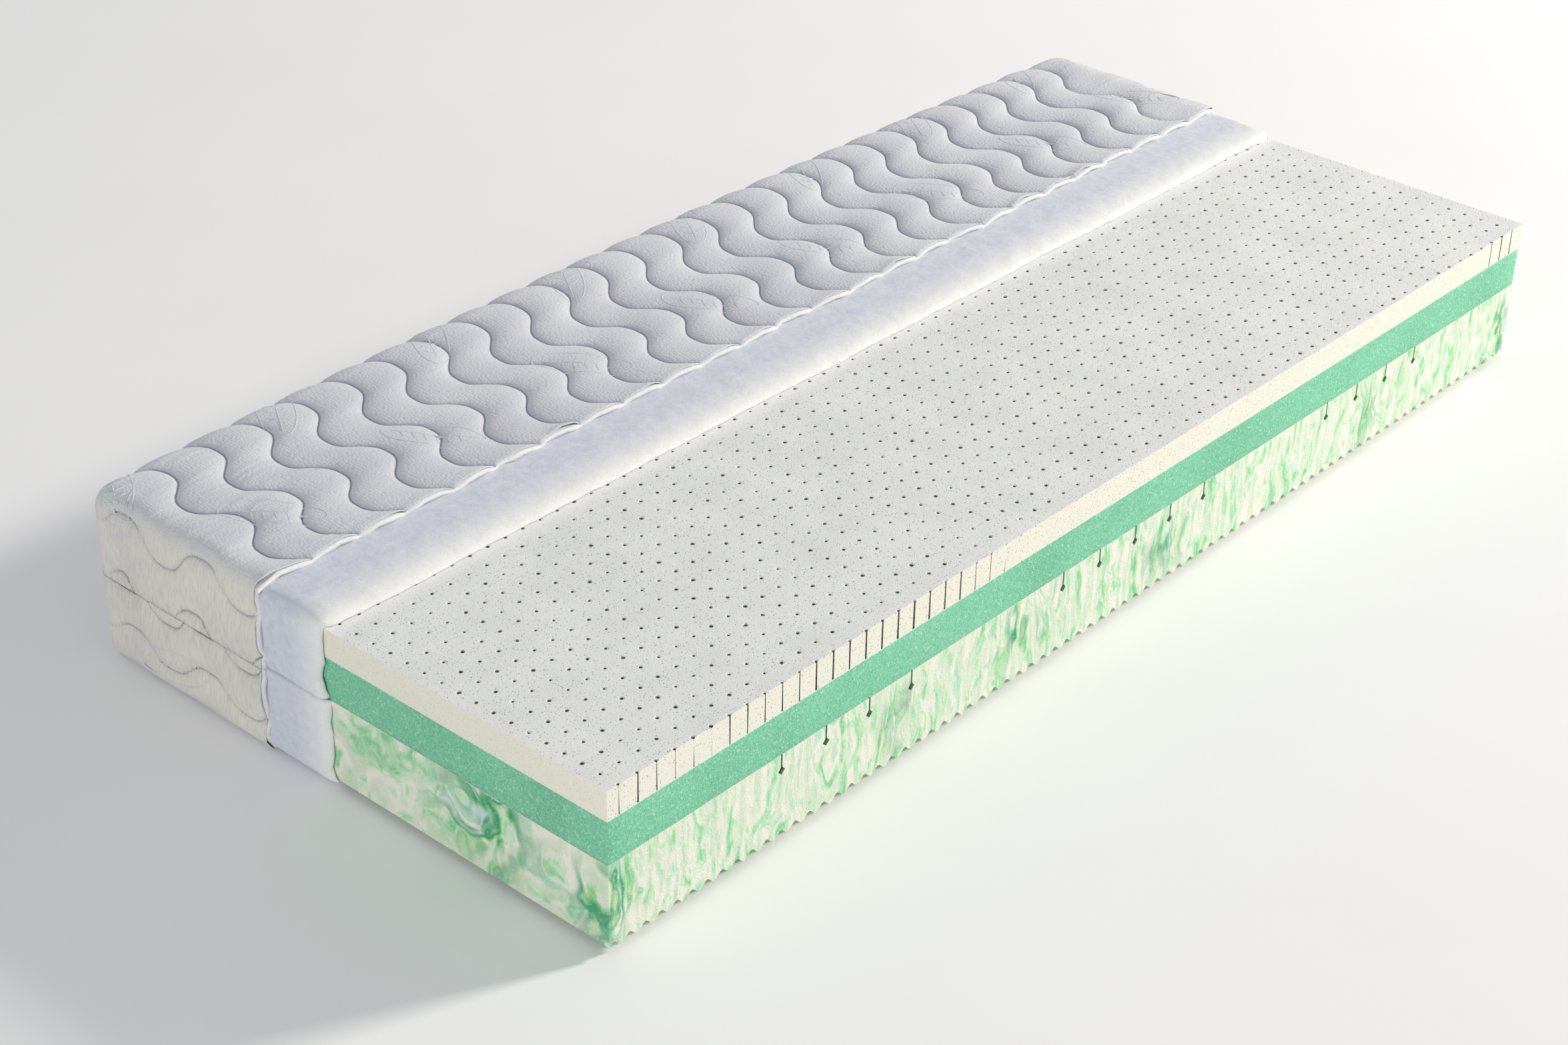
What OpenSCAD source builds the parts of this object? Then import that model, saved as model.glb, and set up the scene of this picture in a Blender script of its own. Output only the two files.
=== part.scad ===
// Foam mattress with a zip-off quilted cover, cut back over the front half to bare its layers.
// Millimetres. +X runs along the length, +Y towards the back, +Z up, and Z = 0 is the floor.
// Places across the width are counted from the core's front face, and turned into Y by front_y.

/* [Foam core] */
// Length of the foam core
core_l = 2000; // [1600:10:2400]
// Width of the foam core
core_w = 900; // [740:10:1800]
// Height of the pierced comfort layer on top
comfort_h = 42; // [30:1:80]
// Height of the support layer in the middle
support_h = 61; // [40:1:100]
// Height of the base layer, down to the tips of its ribs
base_h = 121; // [95:1:180]
// Thickness of the adhesive film between two layers
bond_t = 0.3; // [0.2:0.1:1]

/* [Comfort layer] */
// Distance between two pin holes along the length
pin_pitch = 30; // [24:0.5:40]
// Distance of the middle pin holes from the middle of the length
pin_shift = 8.8; // [0:0.1:12]
// Diameter of a pin hole at the top of the layer
pin_top_d = 1.5; // [1:0.1:3]
// Diameter of a pin hole at the bottom of the layer
pin_bottom_d = 4; // [2:0.1:6]
// Distance of the last pin hole from the end of the core, at least
pin_margin = 20; // [10:1:60]
// Place of the first row of pins across the width, at mid length
pin_row_y = -5.6; // [-12:0.1:12]
// Distance from the first row of pins to the second
pin_row_pitch = 27.8; // [24:0.1:36]
// Drift of a row towards the front face, for each pin along it
pin_skew = 0.47; // [0:0.01:0.8]
// Bow of a row, for the square of each pin's count from mid length
pin_bow = 0.0078; // [0:0.0001:0.01]

/* [Base layer] */
// Distance between two ribs on the underside
rib_pitch = 25.8; // [18:0.1:40]
// Depth of the grooves between the ribs
rib_depth = 9; // [4:0.5:16]
// Distance between two flex slots of one zone
slot_pitch = 80; // [40:1:120]
// Width of a flex slot
slot_w = 3; // [1:0.1:6]
// Depth of a flex slot, down to its keyhole
slot_d = 18; // [8:0.5:30]
// Width of the diamond keyhole that ends a flex slot
key_w = 12; // [6:0.5:20]
// Height of the diamond keyhole
key_h = 11; // [6:0.5:20]
// Distance from mid length to the middle of a shoulder or foot zone
zone_x = 590; // [420:5:620]
// Number of flex slots in a shoulder or foot zone
end_zone_slots = 4; // [2:1:4]
// Number of flex slots in the hip zone at mid length
mid_zone_slots = 5; // [3:1:5]

/* [Cover] */
// Thickness of the knitted ticking
ticking_t = 1.4; // [1:0.1:3]
// Thickness of the quilted fill on the sides and the back
fill_side = 4.6; // [3:0.1:8]
// Thickness of the quilted fill on top
fill_top = 5.6; // [3:0.1:10]
// Thickness of the quilted fill pressed flat under the core
fill_bottom = 1.6; // [1:0.1:4]
// Thickness of the fleece wadding on the sides and the back
wadding_side = 10; // [7:0.5:16]
// Thickness of the fleece wadding on top
wadding_top = 13; // [7:0.5:20]
// Thickness of the fleece wadding pressed flat under the core
wadding_bottom = 4; // [2:0.5:8]
// Distance from the core's front face to the cut edge of the ticking
cut_edge = 583; // [400:1:680]
// Width of the bare fleece strip in front of that cut edge
strip_w = 117; // [40:1:200]
// Radius of the cover's upright corners
corner_r = 26; // [20:1:40]
// Radius of the cover's top edges
top_r = 26; // [20:1:40]
// Radius of the cover's bottom edges
bottom_r = 22; // [18:1:24]
// Clearance between the cover and the core
core_gap = 0.3; // [0.2:0.1:2]

/* [Quilting] */
// Distance between two quilting lines
quilt_pitch = 77.5; // [50:0.5:120]
// Offset of the middle quilting line from mid length
quilt_shift = -10; // [-30:1:30]
// Length of one wave of a quilting line
wave_l = 153; // [80:1:240]
// Height of a wave, from its middle line to its crest
wave_a = 19.5; // [8:0.5:30]
// Distance from the core's front face to a crest
wave_start = 865; // [600:1:900]
// Width of the quilting thread
thread_w = 0.8; // [0.4:0.1:2]
// Depth that the quilting thread sinks into the ticking
thread_d = 0.4; // [0.2:0.1:0.8]
// Height of the quilting line on the lower cover's border
border_line_z = 54; // [44:1:70]

/* [Zip] */
// Height of the zip seam above the floor
seam_z = 130; // [105:1:150]
// Gap between the two lips of ticking
lip_gap = 2; // [1.6:0.1:4]
// Gap between the two halves of the fleece at the seam
fleece_gap = 1; // [0.5:0.1:3]
// Height of the pocket that the zip has in the cover
pocket_h = 20; // [16:0.5:30]
// Depth of that pocket behind the ticking
pocket_d = 6.3; // [5.8:0.1:9]
// Width of one zip tape
tape_w = 8.8; // [6:0.1:12]
// Clearance between a tape's far edge and the quilted fill
tape_gap = 0.2; // [0.1:0.1:1]
// Thickness of the zip tape
tape_t = 0.6; // [0.4:0.1:1]
// Height and thickness of one half of the coil
coil_s = 2; // [1.5:0.1:3]
// Length of the slider's plate
slider_l = 15; // [10:0.5:20]
// Height of the slider's plate
slider_h = 10; // [9:0.5:14]
// Thickness of the slider's plate
slider_t = 1.8; // [1:0.1:2]
// Thickness of the slider's lower flange
flange_t = 1.4; // [0.8:0.1:1.8]
// Length of the slider's post between the coils
post_l = 6; // [4:0.5:8]
// Thickness of the post and of the eye on it
post_t = 1.2; // [0.8:0.1:1.4]
// Running clearance round the coils
coil_gap = 0.4; // [0.3:0.05:0.8]
// Distance from the end of the core to the closed slider
slider_inset = 120; // [60:1:300]
// Diameter of the eye that holds the pull
eye_d = 3; // [2.6:0.1:5]
// Diameter of the hole in the eye
eye_bore = 1.6; // [1.2:0.1:2.4]
// Radial clearance of the pull's pin in the eye
pin_gap = 0.25; // [0.15:0.05:0.4]
// Length of the pull tab
pull_l = 26; // [16:1:45]
// Width of the pull tab
pull_w = 6; // [4:0.5:12]
// Thickness of the pull tab
pull_t = 1.2; // [0.8:0.1:2]
// Clearance between the eye and the face of the cover
eye_gap = 0.4; // [0.3:0.1:2]
// Clearance of the pull's fork on both sides of the eye
fork_gap = 0.3; // [0.2:0.1:1]
// Length of a zip stop
stop_l = 3; // [2:0.5:6]

/* [Hidden] */

$fn = 48;
eps = 0.01;
far = 4000;
points_per_wave = 12;
points_per_rib = 8;

// The cover's layers, counted outwards: 0 is the space for the core, 3 is the ticking's face.
ticking_level = 3;
side_u = [0, wadding_side, wadding_side + fill_side, wadding_side + fill_side + ticking_t];
top_u = [0, wadding_top, wadding_top + fill_top, wadding_top + fill_top + ticking_t];
bottom_u = [0, wadding_bottom, wadding_bottom + fill_bottom, wadding_bottom + fill_bottom + ticking_t];
side_t = side_u[ticking_level];
top_t = top_u[ticking_level];
bottom_t = bottom_u[ticking_level];

core_h = base_h + bond_t + support_h + bond_t + comfort_h;
core_z = bottom_t + core_gap;
base_top = core_z + base_h;
support_z = base_top + bond_t;
support_top = support_z + support_h;
comfort_z = support_top + bond_t;
comfort_top = comfort_z + comfort_h;
cavity_top = comfort_top + core_gap;
cover_top = cavity_top + top_t;

// The pull stands furthest out at the back, and sets where the middle of the width is.
eye_u = side_t + eye_gap + eye_d / 2;
total_w = core_w + core_gap + eye_u + eye_d / 2;
front_y = -total_w / 2;
cavity_back = front_y + core_w + core_gap;
cavity_end = core_l / 2 + core_gap;
cut_y = front_y + cut_edge;
strip_y = cut_y - strip_w;

// The quilted fill stops just past the tape, this far from the seam.
fill_edge = lip_gap / 2 + tape_w + tape_gap;
tape_u = side_u[2] - tape_t;
coil_u = tape_u - coil_s;
plate_u = coil_u - coil_gap - slider_t;
pocket_u = side_u[2] - pocket_d;
slider_x = -core_l / 2 + slider_inset;

// A wave with a flattened crest, between -1 and 1.
function wave(turns) = (sin(360 * turns) + 0.08 * sin(1080 * turns)) / 0.92;

// Place of a pin across the width: row 0 is the first, and i counts along it from mid length.
function pin_y(row, i) = pin_row_y + pin_row_pitch * row - pin_skew * i - pin_bow * i * i;

// Places of a zone's flex slots along the length.
function zone(middle, count) = [for (k = [0:count - 1]) middle + (k - (count - 1) / 2) * slot_pitch];

function slot_places() = concat(
    zone(-zone_x, end_zone_slots), zone(0, mid_zone_slots), zone(zone_x, end_zone_slots));

// ---- the foam core ----

module foam_slab(z, height) {
    translate([-core_l / 2, front_y, z])
        cube([core_l, core_w, height]);
}

// The pins that the front face cuts open show as slits down the comfort layer's face.
module open_pin_holes() {
    count = floor((core_l / 2 - pin_margin) / pin_pitch);
    for (row = [0:1]) {
        for (i = [-count:count]) {
            if (abs(pin_y(row, i)) < pin_bottom_d / 2) {
                translate([pin_shift + pin_pitch * i, front_y + pin_y(row, i), comfort_z - eps])
                    cylinder(h = comfort_h + 2 * eps, d1 = pin_bottom_d, d2 = pin_top_d);
            }
        }
    }
}

module comfort_layer() {
    color([0.93, 0.92, 0.86])
        difference() {
            foam_slab(comfort_z, comfort_h);
            open_pin_holes();
        }
}

module comfort_bond() {
    color([0.95, 0.95, 0.90])
        foam_slab(support_top, bond_t);
}

module support_layer() {
    color([0.47, 0.80, 0.65])
        foam_slab(support_z, support_h);
}

module base_bond() {
    color([0.95, 0.95, 0.90])
        difference() {
            foam_slab(base_top, bond_t);
            for (x = slot_places())
                translate([x - slot_w / 2, front_y - 1, base_top - 1])
                    cube([slot_w, core_w + 2, bond_t + 2]);
        }
}

// Outline of a flex slot, with its mouth just above z = 0.
module slot_outline() {
    half = slot_w / 2;
    polygon([
        [-half, 1], [-half, -slot_d], [-key_w / 2, -slot_d - key_h / 2],
        [0, -slot_d - key_h], [key_w / 2, -slot_d - key_h / 2], [half, -slot_d], [half, 1]
    ]);
}

// Side view of the base layer: a flat top with flex slots, and a ribbed underside.
module base_outline() {
    steps = ceil(core_l / rib_pitch * points_per_rib);
    difference() {
        polygon(concat(
            [[core_l / 2, base_h], [-core_l / 2, base_h]],
            [for (k = [0:steps])
                let (x = -core_l / 2 + core_l * k / steps)
                [x, rib_depth / 2 * (1 - cos(360 * x / rib_pitch))]]
        ));
        for (x = slot_places())
            translate([x, base_h])
                slot_outline();
    }
}

module base_layer() {
    color([0.86, 0.93, 0.82])
        translate([0, front_y + core_w, core_z])
            rotate([90, 0, 0])
                linear_extrude(core_w)
                    base_outline();
}

// ---- the cover's shells ----

// Plan of the cover at a distance u outside the space for the core, with its two back corners round.
module cover_plan(u) {
    r = corner_r - (side_t - u);
    hx = cavity_end + u;
    y_back = cavity_back + u;
    translate([-hx, front_y])
        square([2 * hx, y_back - r - front_y]);
    translate([-hx + r, front_y])
        square([2 * (hx - r), y_back - front_y]);
    for (side = [-1, 1])
        translate([side * (hx - r), y_back - r])
            circle(r);
}

// Outline from a to b in an upright plane, with z0 at the bottom and z1 at the top.
module side_outline(a, b, z0, z1, r0, r1) {
    translate([a, z0 + r0])
        square([b - a, z1 - r1 - z0 - r0]);
    translate([a + r0, z0])
        square([b - a - 2 * r0, (z1 - z0) / 2]);
    translate([a + r1, (z0 + z1) / 2])
        square([b - a - 2 * r1, (z1 - z0) / 2]);
    for (x = [a + r0, b - r0])
        translate([x, z0 + r0])
            circle(r0);
    for (x = [a + r1, b - r1])
        translate([x, z1 - r1])
            circle(r1);
}

// Solid block out to the face of one layer of the cover, round at its edges and back corners.
module cover_block(level) {
    inset = side_t - side_u[level];
    hx = cavity_end + side_u[level];
    y_back = cavity_back + side_u[level];
    z0 = bottom_t - bottom_u[level];
    z1 = cavity_top + top_u[level];
    intersection() {
        translate([0, 0, z0 - 1])
            linear_extrude(z1 - z0 + 2)
                cover_plan(side_u[level]);
        translate([0, far / 2, 0])
            rotate([90, 0, 0])
                linear_extrude(far)
                    side_outline(-hx, hx, z0, z1, bottom_r - inset, top_r - inset);
        translate([-far / 2, 0, 0])
            rotate([90, 0, 90])
                linear_extrude(far)
                    side_outline(front_y - 2 * top_r, y_back, z0, z1, bottom_r - inset, top_r - inset);
    }
}

module core_space() {
    translate([-cavity_end, front_y - 1, bottom_t])
        cube([2 * cavity_end, cavity_back - front_y + 1, cavity_top - bottom_t]);
}

// The part of space behind y and between two heights.
module behind(y, z_low, z_high) {
    translate([-far / 2, y, z_low])
        cube([far, far, z_high - z_low]);
}

// One layer of the cover, behind y and between two heights.
module cover_layer(level, y, z_low, z_high) {
    difference() {
        intersection() {
            cover_block(level);
            behind(y, z_low, z_high);
        }
        if (level == 1)
            core_space();
        else
            cover_block(level - 1);
    }
}

// Upright band that follows the cover's plan, from u_in out to u_out.
module plan_band(u_in, u_out, z_low, z_high) {
    translate([0, 0, z_low])
        linear_extrude(z_high - z_low)
            difference() {
                cover_plan(u_out);
                cover_plan(u_in);
            }
}

module zip_pocket() {
    plan_band(pocket_u, side_u[1] + 1, seam_z - pocket_h / 2, seam_z + pocket_h / 2);
}

module upper_ticking() {
    color([0.84, 0.86, 0.88])
        difference() {
            cover_layer(ticking_level, cut_y, seam_z + lip_gap / 2, cover_top + 1);
            upper_lines(thread_d + 1);
        }
}

module lower_ticking() {
    color([0.82, 0.82, 0.79])
        difference() {
            cover_layer(ticking_level, cut_y, -1, seam_z - lip_gap / 2);
            lower_lines(thread_d + 1);
        }
}

module upper_quilt_fill() {
    color([0.97, 0.97, 0.97])
        cover_layer(2, cut_y, seam_z + fill_edge, cover_top + 1);
}

module lower_quilt_fill() {
    color([0.95, 0.95, 0.94])
        cover_layer(2, cut_y, -1, seam_z - fill_edge);
}

module upper_wadding() {
    color([0.87, 0.89, 0.93])
        difference() {
            cover_layer(1, strip_y, seam_z + fleece_gap / 2, cover_top + 1);
            zip_pocket();
        }
}

// In front of the cut edge the fleece isn't pressed by the ticking, so it sags to the floor.
module sagging_strip() {
    flat_end = cavity_end + side_u[1] - (bottom_r - (side_t - side_u[1]));
    translate([-flat_end, strip_y, 0])
        cube([2 * flat_end, strip_w - 1, bottom_t]);
}

module lower_wadding() {
    color([0.80, 0.83, 0.82])
        union() {
            difference() {
                cover_layer(1, strip_y, -1, seam_z - fleece_gap / 2);
                zip_pocket();
            }
            sagging_strip();
        }
}

// ---- quilting thread ----

// Wavy ribbon along Y, from a to b, about x = 0; crest is the place of one crest.
module wavy_ribbon(a, b, crest) {
    steps = max(2, ceil((b - a) / wave_l * points_per_wave));
    line = [for (k = [0:steps])
        let (y = a + (b - a) * k / steps)
        [wave_a * wave((y - crest) / wave_l + 0.25), y]];
    polygon(concat(
        [for (p = line) [p[0] + thread_w / 2, p[1]]],
        [for (k = [steps:-1:0]) [line[k][0] - thread_w / 2, line[k][1]]]
    ));
}

// Places of the quilting lines along the length, on a flat face that ends at reach.
function quilt_places(reach) = [
    for (k = [-ceil(reach / quilt_pitch):ceil(reach / quilt_pitch)])
        let (x = quilt_shift + quilt_pitch * k)
        if (abs(x) + wave_a + thread_w < reach) x
];

// The lines start thread_d under the ticking's face and are depth deep, outwards.
module back_lines(z_low, z_high, depth) {
    for (x = quilt_places(cavity_end + side_t - corner_r))
        translate([x, cavity_back + side_t - thread_d, 0])
            rotate([90, 0, 0])
                mirror([0, 0, 1])
                    linear_extrude(depth)
                        wavy_ribbon(z_low, z_high, seam_z);
}

module end_lines(z, depth) {
    for (side = [-1, 1])
        translate([side * (cavity_end + side_t - thread_d), 0, z])
            rotate([0, side * 90, 0])
                linear_extrude(depth)
                    wavy_ribbon(cut_y + 1, cavity_back + side_t - corner_r, front_y + wave_start);
}

module top_lines(depth) {
    for (x = quilt_places(cavity_end + side_t - top_r))
        translate([x, 0, cover_top - thread_d])
            linear_extrude(depth)
                wavy_ribbon(cut_y + 1, cavity_back + side_t - top_r, front_y + wave_start);
}

module upper_lines(depth) {
    top_lines(depth);
    back_lines(seam_z + lip_gap, cover_top - top_r, depth);
}

module lower_lines(depth) {
    end_lines(border_line_z, depth);
    back_lines(bottom_r, seam_z - lip_gap, depth);
}

module upper_quilting_thread() {
    color([0.74, 0.77, 0.80])
        upper_lines(thread_d);
}

module lower_quilting_thread() {
    color([0.72, 0.73, 0.70])
        lower_lines(thread_d);
}

// ---- zip ----

// Draws its children for the upper half with side 1, and mirrored below the seam with side -1.
module zip_half(side) {
    translate([0, 0, seam_z])
        mirror([0, 0, side > 0 ? 0 : 1])
            children();
}

module zip_band(u_in, u_out, height) {
    intersection() {
        plan_band(u_in, u_out, lip_gap / 2, lip_gap / 2 + height);
        behind(cut_y, 0, pocket_h);
    }
}

module zip_tape() {
    zip_band(tape_u, side_u[2], tape_w);
}

module zip_coil() {
    zip_band(coil_u, tape_u, coil_s);
}

// Small clamp on the coil, just past the closed slider.
module zip_stop() {
    depth = coil_gap + 0.6;
    translate([slider_x - slider_l / 2 - 1 - stop_l, cavity_back + coil_u - depth, lip_gap / 2])
        cube([stop_l, depth, coil_s]);
}

module upper_zip_tape() {
    color([0.90, 0.90, 0.88])
        zip_half(1)
            zip_tape();
}

module lower_zip_tape() {
    color([0.90, 0.90, 0.88])
        zip_half(-1)
            zip_tape();
}

module upper_zip_coil() {
    color([0.96, 0.96, 0.95])
        zip_half(1)
            zip_coil();
}

module lower_zip_coil() {
    color([0.96, 0.96, 0.95])
        zip_half(-1)
            zip_coil();
}

module upper_zip_stop() {
    color([0.80, 0.80, 0.80])
        zip_half(1)
            zip_stop();
}

module lower_zip_stop() {
    color([0.80, 0.80, 0.80])
        zip_half(-1)
            zip_stop();
}

// The slider runs behind the coils, and hooks under the lower one so that the upper half can lift off.
module zip_slider() {
    flange_z = lip_gap / 2 + coil_s + coil_gap;
    neck_from = coil_u + coil_s / 2;
    color([0.88, 0.88, 0.88])
        translate([slider_x, cavity_back, seam_z])
            difference() {
                union() {
                    translate([-slider_l / 2, plate_u, -slider_h / 2])
                        cube([slider_l, slider_t, slider_h]);
                    translate([-slider_l / 2, plate_u + slider_t, -flange_z - flange_t])
                        cube([slider_l, coil_s - coil_gap / 2, flange_t]);
                    translate([-post_l / 2, plate_u + slider_t, -post_t / 2])
                        cube([post_l, neck_from - plate_u - slider_t + coil_s / 2, post_t]);
                    translate([-eye_d / 2, neck_from, -post_t / 2])
                        cube([eye_d, eye_u - neck_from, post_t]);
                    translate([0, eye_u, -post_t / 2])
                        cylinder(h = post_t, d = eye_d);
                }
                translate([0, eye_u, -post_t])
                    cylinder(h = 2 * post_t, d = eye_bore);
            }
}

// The pull's fork straddles the eye, and its pin runs through the eye's hole.
module zip_pull() {
    ear_x = eye_bore / 2 - pin_gap + 0.45;
    fork_x = eye_d / 2 + 3 * fork_gap;
    fork_half = post_t / 2 + fork_gap;
    color([0.88, 0.88, 0.88])
        translate([slider_x, cavity_back + eye_u, seam_z])
            union() {
                difference() {
                    union() {
                        translate([-ear_x, -pull_t / 2, -pull_w / 2])
                            cube([pull_l - pull_w / 2, pull_t, pull_w]);
                        translate([pull_l - pull_w / 2 - ear_x, pull_t / 2, 0])
                            rotate([90, 0, 0])
                                cylinder(h = pull_t, d = pull_w);
                    }
                    translate([-ear_x - 1, -pull_t, -fork_half])
                        cube([ear_x + 1 + fork_x, 2 * pull_t, 2 * fork_half]);
                }
                translate([0, 0, -fork_half - 0.5])
                    cylinder(h = 2 * fork_half + 1, d = eye_bore - 2 * pin_gap);
            }
}

comfort_layer();
comfort_bond();
support_layer();
base_bond();
base_layer();
upper_ticking();
upper_quilt_fill();
upper_wadding();
upper_quilting_thread();
lower_ticking();
lower_quilt_fill();
lower_wadding();
lower_quilting_thread();
upper_zip_tape();
lower_zip_tape();
upper_zip_coil();
lower_zip_coil();
upper_zip_stop();
lower_zip_stop();
zip_slider();
zip_pull();
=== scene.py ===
import bisect
import math
import random

import bmesh
import bpy
from mathutils import Matrix, Vector, noise


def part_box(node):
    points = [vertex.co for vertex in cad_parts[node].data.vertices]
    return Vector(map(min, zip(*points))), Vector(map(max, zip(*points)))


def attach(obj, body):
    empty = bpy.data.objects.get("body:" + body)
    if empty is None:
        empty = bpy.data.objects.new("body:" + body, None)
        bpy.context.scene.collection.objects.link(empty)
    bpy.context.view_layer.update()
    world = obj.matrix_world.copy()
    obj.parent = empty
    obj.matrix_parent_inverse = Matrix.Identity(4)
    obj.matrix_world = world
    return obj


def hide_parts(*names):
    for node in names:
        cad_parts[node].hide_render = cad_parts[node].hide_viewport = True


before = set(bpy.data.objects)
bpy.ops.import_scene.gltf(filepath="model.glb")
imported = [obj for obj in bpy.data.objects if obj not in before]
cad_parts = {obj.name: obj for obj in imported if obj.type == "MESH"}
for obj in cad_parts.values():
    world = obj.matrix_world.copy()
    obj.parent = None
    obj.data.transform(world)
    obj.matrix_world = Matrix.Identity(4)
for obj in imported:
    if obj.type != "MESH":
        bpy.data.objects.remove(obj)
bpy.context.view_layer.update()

# Foam mattress in a zip-off quilted cover that is cut back to show its layers.
# Metres, in the frame's own axes: +X along the length, +Y to the back, +Z up.

random.seed(11)

coreLow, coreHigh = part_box("comfort_layer")
frontY = coreLow.y
mm = 0.001


# ---- small helpers ----

def toLinear(code):
    # sRGB hex colour to the linear colour that a shader wants
    parts = [int(code[k:k + 2], 16) / 255 for k in (1, 3, 5)]
    return tuple([c / 12.92 if c < 0.04045 else ((c + 0.055) / 1.055) ** 2.4 for c in parts] + [1.0])


def smoothStep(low, high, value):
    u = min(max((value - low) / (high - low), 0.0), 1.0)
    return u * u * (3 - 2 * u)


def mixed(a, b, share):
    return a + (b - a) * share


def grain(x, y, seed=0.0):
    return noise.noise(Vector((x, y, seed)))


def makePiece(name, bm, material, body, stands=(), sharp=None):
    mesh = bpy.data.meshes.new(name)
    bm.to_mesh(mesh)
    bm.free()
    mesh.materials.append(material)
    mesh.shade_smooth()
    if sharp is not None:
        mesh.set_sharp_from_angle(angle=math.radians(sharp))
    piece = bpy.data.objects.new(name, mesh)
    bpy.context.scene.collection.objects.link(piece)
    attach(piece, body)
    if stands:
        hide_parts(*stands)
    return piece


# ---- materials ----

def newMaterial(name):
    material = bpy.data.materials.new(name)
    material.use_nodes = True
    return material, material.node_tree.nodes["Principled BSDF"]


def addNode(material, kind, settings, links=None):
    # settings go to the node's own fields or to its sockets, links join a socket to an output
    node = material.node_tree.nodes.new(kind)
    for key, value in settings.items():
        if isinstance(key, str) and hasattr(node, key):
            setattr(node, key, value)
        else:
            node.inputs[key].default_value = value
    for key, output in (links or {}).items():
        material.node_tree.links.new(output, node.inputs[key])
    return node


def addRamp(material, source, stops, mode="LINEAR"):
    ramp = addNode(material, "ShaderNodeValToRGB", {}, {"Fac": source})
    ramp.color_ramp.interpolation = mode
    while len(ramp.color_ramp.elements) < len(stops):
        ramp.color_ramp.elements.new(0.5)
    for element, (place, code) in zip(ramp.color_ramp.elements, stops):
        element.position = place
        element.color = toLinear(code)
    return ramp


def joinTo(material, output, socket):
    material.node_tree.links.new(output, socket)


print("materials")

knit = {
    # crease is the painted shade colour along the stitch lines
    # topLow is painted shade for the hollows between the knit's pebbles
    "top": "#dcdee3", "topLow": "#c6cad4", "border": "#e5e3da", "borderLow": "#d8d6cd", "crease": "#8d92a0",
    "cell": 4.6 * mm,       # the pebbled cells of the knit's surface
    "loop": 2.4 * mm,       # the loops are about 1 mm, drawn coarser so that they show
    "rib": 3.2 * mm,        # fine vertical lines in the border
}


def knitMaterial(name, halfLength):
    # Polyester jacquard knit, circular knitted and lightly brushed: matt, pebbled, with a soft sheen.
    material, shader = newMaterial(name)
    uv = addNode(material, "ShaderNodeUVMap", {"uv_map": "cloth"}).outputs["UV"]
    split = addNode(material, "ShaderNodeSeparateXYZ", {}, {0: uv})
    reach = addNode(material, "ShaderNodeMath", {"operation": "ABSOLUTE"}, {0: split.outputs["X"]})
    border = addNode(material, "ShaderNodeMapRange",
                     {"From Min": halfLength - 0.035, "From Max": halfLength + 0.03},
                     {"Value": reach.outputs[0]})
    cells = addNode(material, "ShaderNodeTexVoronoi",
                    {"voronoi_dimensions": "2D", "feature": "SMOOTH_F1", "Scale": 1 / knit["cell"],
                     "Smoothness": 0.6, "Randomness": 0.65}, {"Vector": uv})
    loops = addNode(material, "ShaderNodeTexNoise",
                    {"noise_dimensions": "2D", "Scale": 1 / knit["loop"], "Detail": 3.0}, {"Vector": uv})
    # the border's lines run up and down, so they're stretched across the length
    stretched = addNode(material, "ShaderNodeMapping", {"Scale": (0.14, 1.0, 1.0)}, {"Vector": uv})
    streaks = addNode(material, "ShaderNodeTexNoise",
                      {"noise_dimensions": "2D", "Scale": 1 / knit["rib"], "Detail": 2.0},
                      {"Vector": stretched.outputs[0]})
    patches = addNode(material, "ShaderNodeTexNoise",
                      {"noise_dimensions": "2D", "Scale": 9.0, "Detail": 4.0}, {"Vector": uv})
    # painted shade: the top's colour darkens towards the edges of the pebbled cells, in the hollows that the inverted
    # bump makes
    topTone = addRamp(material, cells.outputs["Distance"], [(0.0, knit["top"]), (0.55, knit["top"]), (0.95, knit["topLow"])])
    sideTone = addRamp(material, streaks.outputs["Fac"], [(0.3, knit["borderLow"]), (0.6, knit["border"])])
    tone = addNode(material, "ShaderNodeMix", {"data_type": "RGBA"},
                   {"Factor": border.outputs[0], 6: topTone.outputs[0], 7: sideTone.outputs[0]})
    shade = addRamp(material, patches.outputs["Fac"], [(0.3, "#f3f3f6"), (0.7, "#ffffff")])
    clean = addNode(material, "ShaderNodeMix", {"data_type": "RGBA", "blend_type": "MULTIPLY", "Factor": 1.0},
                    {6: tone.outputs[2], 7: shade.outputs[0]})
    # painted shade: the knit is darkened along the stitch lines, where the creases lie in shade
    crease = addNode(material, "ShaderNodeAttribute", {"attribute_name": "crease"})
    creaseShade = addRamp(material, crease.outputs["Fac"], [(0.0, "#ffffff"), (0.5, "#f0f0f2"), (1.0, knit["crease"])])
    colour = addNode(material, "ShaderNodeMix", {"data_type": "RGBA", "blend_type": "MULTIPLY", "Factor": 1.0},
                     {6: clean.outputs[2], 7: creaseShade.outputs[0]})
    joinTo(material, colour.outputs[2], shader.inputs["Base Color"])
    cellBump = addNode(material, "ShaderNodeBump", {"Strength": 0.6, "Distance": 1.1 * mm, "invert": True},
                       {"Height": cells.outputs["Distance"]})
    loopBump = addNode(material, "ShaderNodeBump", {"Strength": 0.5, "Distance": 0.5 * mm},
                       {"Height": loops.outputs["Fac"], "Normal": cellBump.outputs[0]})
    ribBump = addNode(material, "ShaderNodeBump", {"Strength": 0.35, "Distance": 0.6 * mm},
                      {"Height": streaks.outputs["Fac"], "Normal": loopBump.outputs[0]})
    joinTo(material, ribBump.outputs[0], shader.inputs["Normal"])
    rough = addRamp(material, loops.outputs["Fac"], [(0.2, "#d8d8d8"), (0.8, "#f2f2f2")])
    joinTo(material, rough.outputs[0], shader.inputs["Roughness"])
    shader.inputs["Sheen Weight"].default_value = 0.25
    shader.inputs["Sheen Roughness"].default_value = 0.45
    shader.inputs["Specular IOR Level"].default_value = 0.3
    return material


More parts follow.
